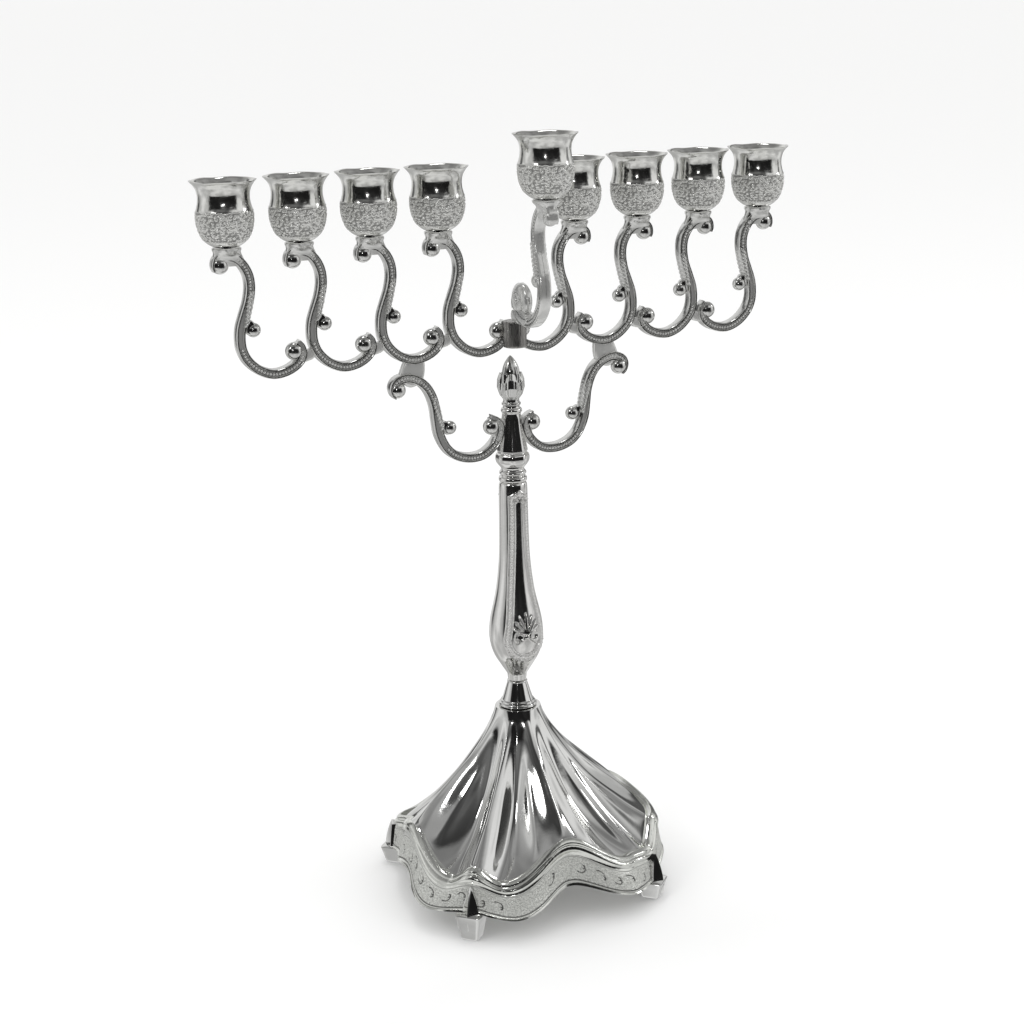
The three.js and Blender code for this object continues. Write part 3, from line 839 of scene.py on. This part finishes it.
def outward(r, z):
    """Unit normals of the rows in the (R, z) plane."""
    dr, dz = np.gradient(r, axis=0), np.gradient(z, axis=0)
    size = np.hypot(dr, dz) + 1e-9
    return -dz / size, dr / size


def folds(levels, phase, theta):
    """Secondary pleats between the ridges, fading out at the neck and at the rim."""
    u = levels[:, None]
    window = smooth(2.2, 4.2, u) * (1 - smooth(5.2, 6.0, u))
    pleat = 0.55 * np.exp(-(((phase - 0.36) / 0.07) ** 2)) - 0.3 * np.exp(-(((phase - 0.19) / 0.1) ** 2))
    far = 0.4 * np.exp(-(((phase - 0.86) / 0.03) ** 2)) * smooth(2.6, 4.4, u)
    dip = -0.6 * np.exp(-(((phase - 0.64) / 0.14) ** 2))
    drift = 0.03 * np.sin(5 * theta + 1.3 * u)
    spine = 0.45 * np.exp(-((phase / 0.045) ** 2)) * smooth(1.0, 2.4, u)
    return window * (pleat + far + dip + spine + drift)


def base_drape():
    """Draped skin from the neck to the roll, with its wall and its crown."""
    theta = np.linspace(0, 2 * np.pi, DRAPE_COLUMNS, endpoint=False)
    levels = np.concatenate([np.linspace(0, 5.9, 84), [6.15, 6.4]])
    crisp = 0.25 * (1 - smooth(4.6, 6.0, levels))
    r, z, phase = base_rows(theta, levels, crisp)
    nr, nz = outward(r, z)
    nr, nz = np.abs(nr), np.abs(nz)
    push = folds(levels, phase, theta[None, :])
    outer = polar(r + nr * push, z + nz * push, theta[None, :])
    inner = polar(r - nr * SKIN, z - nz * SKIN, theta[None, :])[2::3][::-1]
    crown = turned([(7.4, 65.3), (2.4, 65.3), (2.4, 69.35), (7.9, 69.35)], DRAPE_COLUMNS)
    return [surface(np.concatenate([outer, inner, crown]), tube=True)]


MARKS = 46  # places for a drawn mark round the rim band, a third of them left empty


def base_rim():
    """Double roll, granulated band between bead lines, and plain lip."""
    theta = np.linspace(0, 2 * np.pi, RIM_COLUMNS, endpoint=False)
    levels = np.concatenate([np.linspace(6.0, 9.0, 34), np.linspace(9.02, 11.0, 58)])
    r, z, _ = base_rows(theta, levels, np.zeros(len(levels)))
    nr, nz = outward(r, z)
    nr = np.abs(nr)
    nz = np.where(levels[:, None] > 8.6, np.abs(nz) * 0.4, nz)
    u = levels[:, None]
    step = np.hypot(np.diff(r, axis=1, append=r[:, :1]), r * (theta[1] - theta[0]))
    step = np.hypot(step, np.diff(z, axis=1, append=z[:, :1]))
    middle_row = np.searchsorted(levels, 10)
    x = np.concatenate([[0], np.cumsum(step[middle_row])[:-1]])[None, :]
    around = float(np.sum(step[middle_row]))
    y = (u - 9) * 6.2
    inside_band = smooth(9.22, 9.30, u) * (1 - smooth(10.66, 10.74, u))
    grain = grains(x + 0 * y, y + 0 * x, 0.62, around, 3)
    cell = around / MARKS
    number = np.floor((x + cell / 2) / cell).astype(int) % MARKS
    shift, lift, kept = np.moveaxis(np.random.default_rng(9).random((MARKS, 3))[number], -1, 0)
    cx = (x + cell / 2) % cell - cell / 2 + 2.4 * (shift - 0.5)
    turn = number % 2
    cy = y - 5.6 + 3.0 * (lift - 0.5)
    curl = ring_line(cx, cy, 2.0, 0.2) * (cx + cy * (turn - 0.5) * 2 > 0.3)
    curl = curl + ring_line(cx - 1.3, cy + 1.2 * (turn - 0.5), 0.7, 0.2) * (cx > 1.0)
    curl = np.clip(curl, 0, 1) * inside_band * (kept > 0.35)
    groove = np.exp(-(((u - 10.70) / 0.06) ** 2)) + 0 * x
    roll = 0.5 * np.exp(-(((u - 8.55) / 0.22) ** 2)) - 0.5 * np.exp(-(((u - 8.05) / 0.12) ** 2))
    lip = 0.35 * smooth(10.76, 10.84, u) - 0.3 * groove
    height = roll + lip + inside_band * (0.24 * grain - 0.12) - 0.34 * curl
    outer = polar(r + nr * height, z + nz * height, theta[None, :])
    # painted shade: the crease where the roll meets the band, the granulated band and most its gaps between
    # grains, the engraved curls and the groove at the lip are darkened through low relief
    roll_crease = np.exp(-(((u - 9.14) / 0.06) ** 2)) + 0 * x
    relief = 1 - inside_band * (0.12 + 0.5 * (1 - grain)) - 0.95 * curl - 0.95 * groove - 0.8 * roll_crease
    inner_r, inner_z = r - nr * SKIN, z - nz * SKIN * (u < 8.6)
    inner_r = inner_r - 0.4 * (u > 8.6)
    inner = polar(inner_r, inner_z, theta[None, :])[::4][::-1]
    edge = polar(r[-1:] - 0.9, z[-1:] - 0.25, theta[None, :])
    grid = np.concatenate([outer, edge, inner])
    shine = np.concatenate([relief, np.ones((1 + len(inner), RIM_COLUMNS))])
    return [surface(grid, tube=True, relief=np.clip(shine, 0, 1))]


FOOT_OUT, FOOT_HIGH, FOOT_LOW = 51.4, 9.3, 6.3


def foot(top):
    """Tapered pad of that height and the keeled leaf outside the rim, for the corner direction +X."""
    sizes = [
        (0.0, 3.05), (0.03, 3.2), (0.08, 3.3), (0.35, 3.7), (0.65, 4.2), (0.93, 4.7), (0.98, 4.75), (1, 4.5),
    ]
    theta = np.linspace(0, 2 * np.pi, 64, endpoint=False)
    rows = []
    for share, half in sizes:
        c, s = np.cos(theta), np.sin(theta)
        x = half * np.sign(c) * np.abs(c) ** 0.22
        y = half * np.sign(s) * np.abs(s) ** 0.22
        rows.append(np.stack([FOOT_OUT + x, y, np.full(64, share * top)], -1))
    pad = capped(np.array(rows))
    keel_rows = []
    for t in np.linspace(0, 1, 34):
        z = top - 6.0 + 16.0 * t
        swell = min(1, t / 0.3 + 0.08) ** 0.6 * (1 - max(0, (t - 0.3) / 0.7) ** 1.7)
        ridge, half = 0.5 + 2.9 * swell, 0.2 + 2.9 * swell
        a = np.linspace(-1, 1, 17)
        bow = ridge * (1 - np.abs(a)) ** 1.25
        lean = 1.6 * min(1, t / 0.3)
        front = np.stack([FOOT_OUT + 2.6 - lean + bow, half * a, np.full(17, z)], -1)
        back = np.stack([np.full(15, FOOT_OUT - 1.5), half * a[1:-1][::-1], np.full(15, z)], -1)
        keel_rows.append(np.concatenate([front, back]))
    return [pad, capped(np.array(keel_rows))]


def spun(part, degrees):
    """A part turned about the Z axis."""
    vertices, faces, relief = part
    a = math.radians(degrees)
    turn = np.array([[math.cos(a), math.sin(a), 0], [-math.sin(a), math.cos(a), 0], [0, 0, 1]])
    return vertices @ turn, faces, relief


# ---- assembly ----------------------------------------------------------------------------


def seat_of(name):
    """Where the cup of that name stands: its CAD node's middle and floor, in millimetres."""
    low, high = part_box(f"cup_{name}")
    middle = (low + high) / 2
    return (middle.x / MM, middle.y / MM, low.z / MM - GAP)


def mirrored(parts):
    return [moved(p, mirror=True) for p in parts]


place("base_drape", mesh_of("base_drape", base_drape(), 50), polished, ["base_shell"])
place("base_rim", mesh_of("base_rim", base_rim(), 60), rim_plating, ["base_shell"])
corners = {"front_right": -45, "back_right": 45, "back_left": 135, "front_left": -135}
for corner, degrees in corners.items():
    top = FOOT_LOW if corner in ("front_right", "back_left") else FOOT_HIGH
    parts = [spun(p, degrees) for p in foot(top)]
    name = f"foot_{corner}"
    place(f"{name}_casting", mesh_of(name, parts, 50), polished, [name])

for name, parts, material in (
    ("base_collar", [capped(turned(spline(COLLAR, 110), 144))], polished),
    ("stem", stem(), stem_plating),
    ("arm_hub", arm_hub(), stem_plating),
    ("finial", finial(), arm_plating),
):
    place(f"{name}_casting", mesh_of(name, parts, 60), material, [name])

hub_low, hub_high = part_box("centre_hub")
hub_parts = centre_hub((hub_high.x - hub_low.x) / 2 / MM, hub_low.z / MM, hub_high.z / MM)
hub_y = (hub_low.y + hub_high.y) / 2 / MM
place("centre_hub_casting", mesh_of("centre_hub", hub_parts), brushed_plating, ["centre_hub"],
      (0, hub_y, 0))

arm_meshes = {
    (side, linked): mesh_of(
        f"arm_{side}", mirrored(upper_arm(linked)) if side == "left" else upper_arm(linked)
    )
    for side in ("right", "left")
    for linked in (False, True)
}
cup_mesh, screw_mesh = mesh_of("cup", cup(), 70), mesh_of("cup_screw", cup_screw())


def add_cup(name):
    at = seat_of(name)
    place(f"cup_{name}_casting", cup_mesh, cup_plating, [f"cup_{name}"], at)
    place(f"screw_{name}", screw_mesh, steel, [f"cup_screw_{name}"], at)
    return at


for side in ("right", "left"):
    for i in range(1, 5):
        at = add_cup(f"{side}_{i}")
        node = f"arm_{side}_{i}"
        place(f"{node}_casting", arm_meshes[side, i > 1], arm_plating, [node], at)
servant_at = add_cup("servant")
place("servant_arm_casting", mesh_of("servant_arm", servant_arm()), arm_plating, ["servant_arm"],
      servant_at)

LOWER_ARM_AT = (24.0, 0, 176.6)
lower_parts = [moved(p, LOWER_ARM_AT) for p in lower_arm()]
for side, parts in (("right", lower_parts), ("left", mirrored(lower_parts))):
    node = f"lower_arm_{side}"
    place(f"{node}_casting", mesh_of(node, parts), arm_plating, [node])

for node in ("tie_rod", "base_washer", "base_nut"):
    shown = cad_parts[node]
    shown.data.materials.clear()
    shown.data.materials.append(steel)

# ---- floor, light ------------------------------------------------------------------------


def make_floor():
    mesh = bpy.data.meshes.new("floor")
    bm = bmesh.new()
    bmesh.ops.create_circle(bm, cap_ends=True, segments=96, radius=FLOOR_RADIUS)
    bm.to_mesh(mesh)
    bm.free()
    floor = bpy.data.objects.new("floor", mesh)
    floor.location.z = -0.0002
    floor.visible_glossy = False
    bpy.context.scene.collection.objects.link(floor)
    material = bpy.data.materials.new("floor_paper")
    material.use_nodes = True
    nodes, links = material.node_tree.nodes, material.node_tree.links
    grain = nodes.new("ShaderNodeTexNoise")
    grain.inputs["Scale"].default_value = 3
    tone = nodes.new("ShaderNodeMapRange")
    tone.inputs["To Min"].default_value = 0.90
    tone.inputs["To Max"].default_value = 0.92
    links.new(grain.outputs["Fac"], tone.inputs["Value"])
    links.new(tone.outputs["Result"], nodes["Principled BSDF"].inputs["Base Color"])
    nodes["Principled BSDF"].inputs["Roughness"].default_value = 0.9
    nodes["Principled BSDF"].inputs["Specular IOR Level"].default_value = 0.1
    mesh.materials.append(material)


def make_world(toward):
    """A pale room for the metal to mirror, with a dark wall on the side the pictures are taken from.

    The backdrop and the light on the floor are even; only mirrored rays see the room.
    """
    world = bpy.data.worlds.new("studio")
    bpy.context.scene.world = world
    world.use_nodes = True
    nodes, links = world.node_tree.nodes, world.node_tree.links
    nodes.clear()

    def put(socket, value):
        if isinstance(value, (int, float)):
            socket.default_value = value
        else:
            links.new(value, socket)

    def calc(kind, *values):
        node = nodes.new("ShaderNodeMath")
        node.operation = kind
        for socket, value in zip(node.inputs, values):
            put(socket, value)
        return node.outputs[0]

    def ramp(value, low, high, start=0.0, end=1.0):
        node = nodes.new("ShaderNodeMapRange")
        node.interpolation_type = "SMOOTHSTEP"
        for name, number in (("From Min", low), ("From Max", high), ("To Min", start), ("To Max", end)):
            node.inputs[name].default_value = number
        put(node.inputs["Value"], value)
        return node.outputs["Result"]

    def between(value, low, high, soft):
        return calc("MULTIPLY", ramp(value, low - soft, low + soft), ramp(value, high + soft, high - soft))

    coords = nodes.new("ShaderNodeTexCoord").outputs["Generated"]
    split = nodes.new("ShaderNodeSeparateXYZ")
    links.new(coords, split.inputs[0])
    x, y, height = split.outputs
    flat = Vector((toward.x, toward.y, 0)).normalized()
    facing = calc("ADD", calc("MULTIPLY", x, flat.x), calc("MULTIPLY", y, flat.y))
    beside = calc("ADD", calc("MULTIPLY", x, -flat.y), calc("MULTIPLY", y, flat.x))
    azimuth = calc("MULTIPLY", calc("ARCTAN2", beside, facing), 180 / math.pi)

    wall = calc("MULTIPLY", between(azimuth, -58, 66, 5), between(height, -0.36, 0.40, 0.05))
    strips = [between(azimuth, low, high, 3) for low, high in ((104, 116), (-134, -120), (150, 160))]
    any_strip = calc("MAXIMUM", calc("MAXIMUM", *strips[:2]), strips[2])
    strip = calc("MULTIPLY", any_strip, between(height, -0.2, 0.62, 0.08))
    ceiling = ramp(height, 0.42, 0.85)
    hood = calc("MULTIPLY", between(azimuth, -44, 38, 9), between(height, 0.34, 0.86, 0.04))
    cloud = nodes.new("ShaderNodeTexNoise")
    cloud.inputs["Scale"].default_value = 1.7
    cloud.inputs["Detail"].default_value = 2
    links.new(coords, cloud.inputs["Vector"])
    mottle = ramp(cloud.outputs["Fac"], 0.38, 0.62, 0.62, 1.08)

    level = calc("MULTIPLY", mottle, calc("SUBTRACT", 0.74, calc("MULTIPLY", ceiling, 0.42)))
    level = calc("MULTIPLY", level, calc("SUBTRACT", 1.0, calc("MULTIPLY", strip, 0.85)))
    level = calc("MULTIPLY", level, calc("SUBTRACT", 1.0, calc("MULTIPLY", wall, 0.975)))
    level = calc("MULTIPLY", level, calc("SUBTRACT", 1.0, calc("MULTIPLY", hood, 0.8)))
    rays = nodes.new("ShaderNodeLightPath")
    even = calc("ADD", calc("MULTIPLY", rays.outputs["Is Camera Ray"], 0.94),
                calc("MULTIPLY", rays.outputs["Is Diffuse Ray"], 1.11))
    plain = calc("MAXIMUM", rays.outputs["Is Camera Ray"], rays.outputs["Is Diffuse Ray"])
    strength = calc("ADD", calc("MULTIPLY", level, calc("SUBTRACT", 1.0, plain)), even)
    background = nodes.new("ShaderNodeBackground")
    background.inputs["Color"].default_value = (1, 1, 0.995, 1)
    links.new(strength, background.inputs["Strength"])
    output = nodes.new("ShaderNodeOutputWorld")
    links.new(background.outputs[0], output.inputs["Surface"])


def softbox(name, at, size, power, aim=(0, 0, 0.14)):
    data = bpy.data.lights.new(name, "AREA")
    data.shape, data.size, data.size_y, data.energy = "RECTANGLE", *size, power
    light = bpy.data.objects.new(name, data)
    light.location = at
    light.rotation_mode = "QUATERNION"
    light.rotation_quaternion = (Vector(aim) - Vector(at)).to_track_quat("-Z", "Y")
    bpy.context.scene.collection.objects.link(light)


make_floor()
make_world(towards_camera)
softbox("key", (-1.3, -0.5, 1.4), (0.26, 0.36), 1.8)
softbox("fill", (1.5, -0.3, 0.9), (0.2, 0.36), 1.2)
softbox("top", (0.1, 0.5, 1.8), (0.4, 0.24), 2.0)
softbox("lamp", (-0.46, -1.0, 0.5), (0.07, 0.07), 0.35)
bpy.context.scene.view_settings.view_transform = "Standard"
